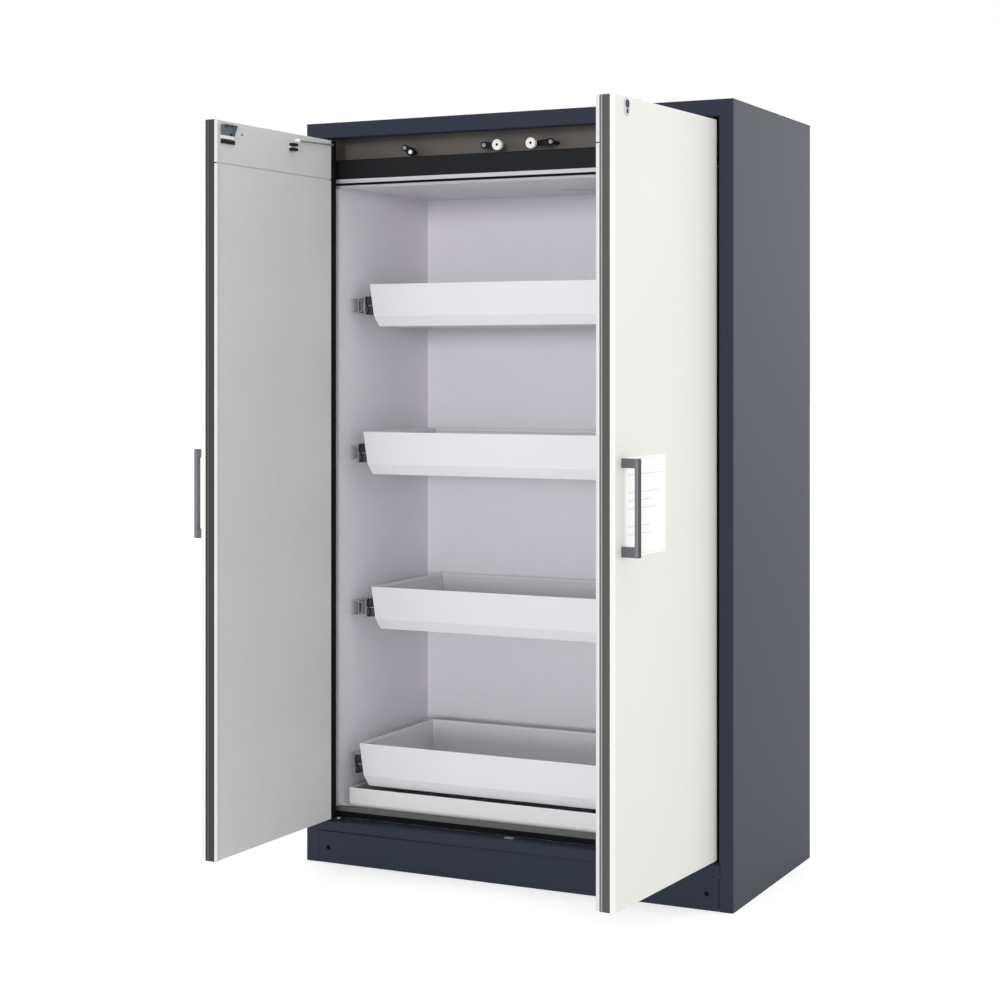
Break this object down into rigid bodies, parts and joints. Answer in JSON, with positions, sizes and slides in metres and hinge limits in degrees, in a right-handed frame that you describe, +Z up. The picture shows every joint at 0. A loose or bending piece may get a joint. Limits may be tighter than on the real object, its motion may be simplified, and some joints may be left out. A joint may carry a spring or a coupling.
{
  "type": "hazardous materials cabinet",
  "caption": "Tall two-door fire-resistant storage cabinet with pull-out trays on telescopic rails, a bottom sump, bar handles and a transport base.",
  "frame": {"origin": "middle of the carcass footprint, on the floor", "axes": "+Z up, -Y towards the front with the doors, +X to the right of someone who faces the front"},
  "size_m": [1.2041, 1.1497, 1.9853],
  "materials": {
    "carcass_paint": "fine textured powder coat, anthracite",
    "door_paint": "smooth satin powder coat, warm white",
    "door_core": "dark mineral fire board with black edge strips",
    "door_lining": "matt light grey laminate",
    "interior_board": "matt light grey laminate",
    "tray_paint": "satin powder coat, light grey",
    "rail_steel": "bright galvanised",
    "header_steel": "dull grey-brown steel, black apron",
    "fitting_steel": "bright zinc",
    "handle_paint": "satin dark grey",
    "black_plastic": "moulded",
    "seal_rubber": "matt",
    "roller_plastic": "moulded white",
    "lock_metal": "satin nickel"
  },
  "bodies": {
    "cabinet": {"side_panel_left": "carcass_paint", "side_panel_right": "carcass_paint", "roof_panel": "carcass_paint", "back_panel": "carcass_paint", "base_frame": "carcass_paint", "plinth_panel": "carcass_paint", "foot_front_left": "black_plastic", "foot_front_right": "black_plastic", "foot_rear_left": "black_plastic", "foot_rear_right": "black_plastic", "board_left": "interior_board", "board_right": "interior_board", "board_back": "interior_board", "board_floor": "interior_board", "board_ceiling": "interior_board", "header_plate": "header_steel", "opening_seal": "seal_rubber", "wall_rail_1_left": "rail_steel", "wall_rail_1_right": "rail_steel", "wall_rail_2_left": "rail_steel", "wall_rail_2_right": "rail_steel", "wall_rail_3_left": "rail_steel", "wall_rail_3_right": "rail_steel", "wall_rail_4_left": "rail_steel", "wall_rail_4_right": "rail_steel", "sump_tray": "tray_paint", "exhaust_spigot": "fitting_steel"},
    "door_left": {"door_shell_left": "door_paint", "door_core_left": "door_core", "door_lining_left": "door_lining", "door_handle_left": "handle_paint", "door_keeper_left": "fitting_steel", "door_stay_left": "black_plastic", "pivot_pin_left": "fitting_steel"},
    "door_right": {"door_shell_right": "door_paint", "door_core_right": "door_core", "door_lining_right": "door_lining", "door_handle_right": "handle_paint", "door_keeper_right": "fitting_steel", "door_stay_right": "black_plastic", "pivot_pin_right": "fitting_steel"},
    "lock": {"lock_cylinder": "lock_metal"},
    "tray_1": {"tray_1": "tray_paint"},
    "tray_2": {"tray_2": "tray_paint"},
    "tray_3": {"tray_3": "tray_paint"},
    "tray_4": {"tray_4": "tray_paint"},
    "rails_1": {"middle_rail_1_left": "rail_steel", "middle_rail_1_right": "rail_steel"},
    "rails_2": {"middle_rail_2_left": "rail_steel", "middle_rail_2_right": "rail_steel"},
    "rails_3": {"middle_rail_3_left": "rail_steel", "middle_rail_3_right": "rail_steel"},
    "rails_4": {"middle_rail_4_left": "rail_steel", "middle_rail_4_right": "rail_steel"},
    "catch_arm_left": {"catch_arm_left": "black_plastic"},
    "catch_arm_right": {"catch_arm_right": "black_plastic"},
    "catch_roller_left": {"catch_roller_left": "roller_plastic"},
    "catch_roller_right": {"catch_roller_right": "roller_plastic"},
    "sequence_arm_left": {"sequence_arm_left": "black_plastic"},
    "sequence_arm_right": {"sequence_arm_right": "black_plastic"}
  },
  "joints": [
    {"name": "left_door", "type": "hinge", "parent": "cabinet", "child": "door_left", "pos_m": [-0.541, -0.3025, 1], "axis": [0, 0, -1], "range_deg": [-91.5, 3.5]},
    {"name": "right_door", "type": "hinge", "parent": "cabinet", "child": "door_right", "pos_m": [0.541, -0.3025, 1], "axis": [0, 0, 1], "range_deg": [-86, 9]},
    {"name": "lock_turn", "type": "hinge", "parent": "door_right", "child": "lock", "pos_m": [0.51828, -0.78509, 1.888], "axis": [0.9976, -0.0698, 0], "range_deg": [0, 90]},
    {"name": "tray_1_slide", "type": "slide", "parent": "cabinet", "child": "tray_1", "axis": [0, -1, 0], "range_m": [-0.01394, 0.32606]},
    {"name": "tray_2_slide", "type": "slide", "parent": "cabinet", "child": "tray_2", "axis": [0, -1, 0], "range_m": [-0.04896, 0.29104]},
    {"name": "tray_3_slide", "type": "slide", "parent": "cabinet", "child": "tray_3", "axis": [0, -1, 0], "range_m": [-0.00612, 0.33388]},
    {"name": "tray_4_slide", "type": "slide", "parent": "cabinet", "child": "tray_4", "axis": [0, -1, 0], "range_m": [-0.06902, 0.27098]},
    {"name": "rails_1_slide", "type": "slide", "parent": "cabinet", "child": "rails_1", "axis": [0, -1, 0], "range_m": [-0.00697, 0.16303]},
    {"name": "rails_2_slide", "type": "slide", "parent": "cabinet", "child": "rails_2", "axis": [0, -1, 0], "range_m": [-0.02448, 0.14552]},
    {"name": "rails_3_slide", "type": "slide", "parent": "cabinet", "child": "rails_3", "axis": [0, -1, 0], "range_m": [-0.00306, 0.16694]},
    {"name": "rails_4_slide", "type": "slide", "parent": "cabinet", "child": "rails_4", "axis": [0, -1, 0], "range_m": [-0.03451, 0.13549]},
    {"name": "catch_left", "type": "hinge", "parent": "cabinet", "child": "catch_arm_left", "pos_m": [-0.102, -0.24, 1.8805], "axis": [0, -1, 0], "range_deg": [0, 8], "stiffness_Nm_per_rad": 0.3, "springref_deg": -11.46},
    {"name": "catch_right", "type": "hinge", "parent": "cabinet", "child": "catch_arm_right", "pos_m": [0.087, -0.24, 1.8805], "axis": [0, 1, 0], "range_deg": [0, 8], "stiffness_Nm_per_rad": 0.3, "springref_deg": -11.46},
    {"name": "roller_left_spin", "type": "hinge", "parent": "catch_arm_left", "child": "catch_roller_left", "pos_m": [-0.055, -0.26, 1.8775], "axis": [0, 1, 0], "continuous": true},
    {"name": "roller_right_spin", "type": "hinge", "parent": "catch_arm_right", "child": "catch_roller_right", "pos_m": [0.04, -0.26, 1.8775], "axis": [0, 1, 0], "continuous": true},
    {"name": "sequence_left", "type": "hinge", "parent": "cabinet", "child": "sequence_arm_left", "pos_m": [-0.335, -0.24, 1.8843], "axis": [0, -1, 0], "range_deg": [0, 12], "stiffness_Nm_per_rad": 0.3, "springref_deg": -11.46},
    {"name": "sequence_right", "type": "hinge", "parent": "cabinet", "child": "sequence_arm_right", "pos_m": [0.335, -0.24, 1.8843], "axis": [0, 1, 0], "range_deg": [0, 12], "stiffness_Nm_per_rad": 0.3, "springref_deg": -11.46}
  ],
  "couplings": [
    {"joint": "rails_1_slide", "follows": "tray_1_slide", "ratio": 0.5},
    {"joint": "rails_2_slide", "follows": "tray_2_slide", "ratio": 0.5},
    {"joint": "rails_3_slide", "follows": "tray_3_slide", "ratio": 0.5},
    {"joint": "rails_4_slide", "follows": "tray_4_slide", "ratio": 0.5}
  ]
}
